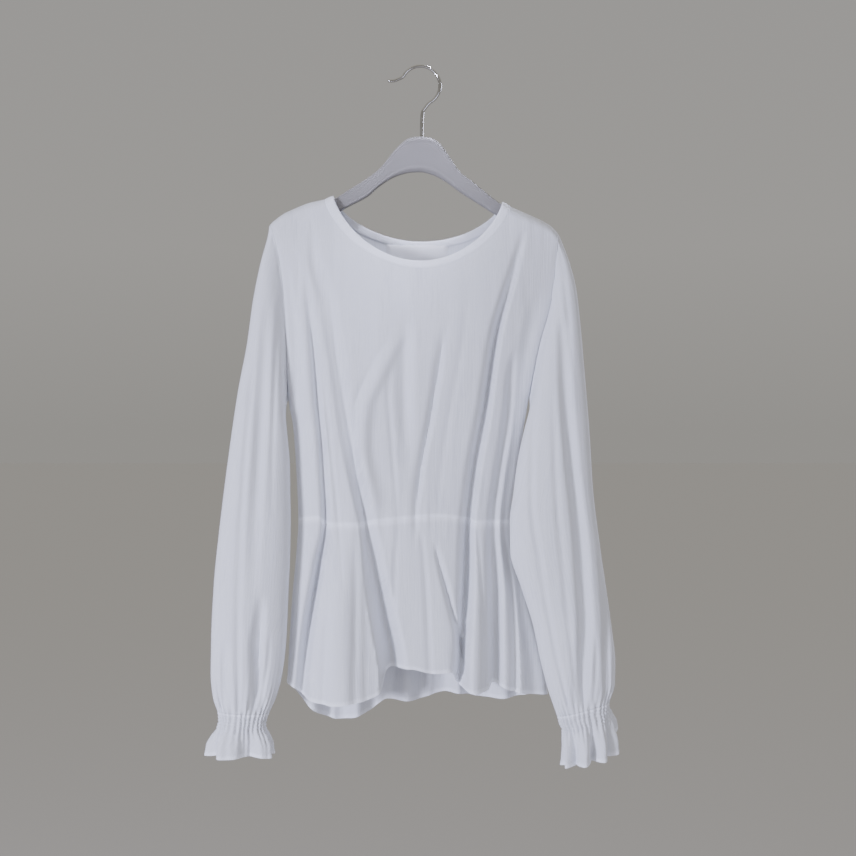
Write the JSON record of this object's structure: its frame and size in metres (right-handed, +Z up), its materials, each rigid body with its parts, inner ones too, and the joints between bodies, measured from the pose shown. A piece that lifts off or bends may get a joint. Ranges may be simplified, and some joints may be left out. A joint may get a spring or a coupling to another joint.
{
  "type": "long-sleeved peplum top on a hanger",
  "caption": "White long-sleeved round-neck top with a flared peplum and frilled elastic cuffs, hanging on a plain plastic hanger with a wire hook.",
  "frame": {"origin": "underside of the hook's top arch, where the hanger hangs on its rail or wall hook", "axes": "+Z up along the hook's shaft, -Y out of the front of the top, +X to the right as seen from the front"},
  "size_m": [0.4624, 0.0877, 0.7867],
  "materials": {
    "cloth": "soft matt white cloth",
    "label": "bare woven satin tape",
    "hanger_plastic": "satin pale grey moulded plastic",
    "hook_wire": "bright plated wire"
  },
  "bodies": {
    "root": {"bodice_front": "cloth", "bodice_back": "cloth", "peplum_front": "cloth", "peplum_back": "cloth", "sleeve_left": "cloth", "sleeve_right": "cloth", "cuff_left": "cloth", "cuff_right": "cloth", "neck_binding": "cloth", "label": "label", "hanger_body": "hanger_plastic", "hanger_hook": "hook_wire"}
  },
  "joints": []
}
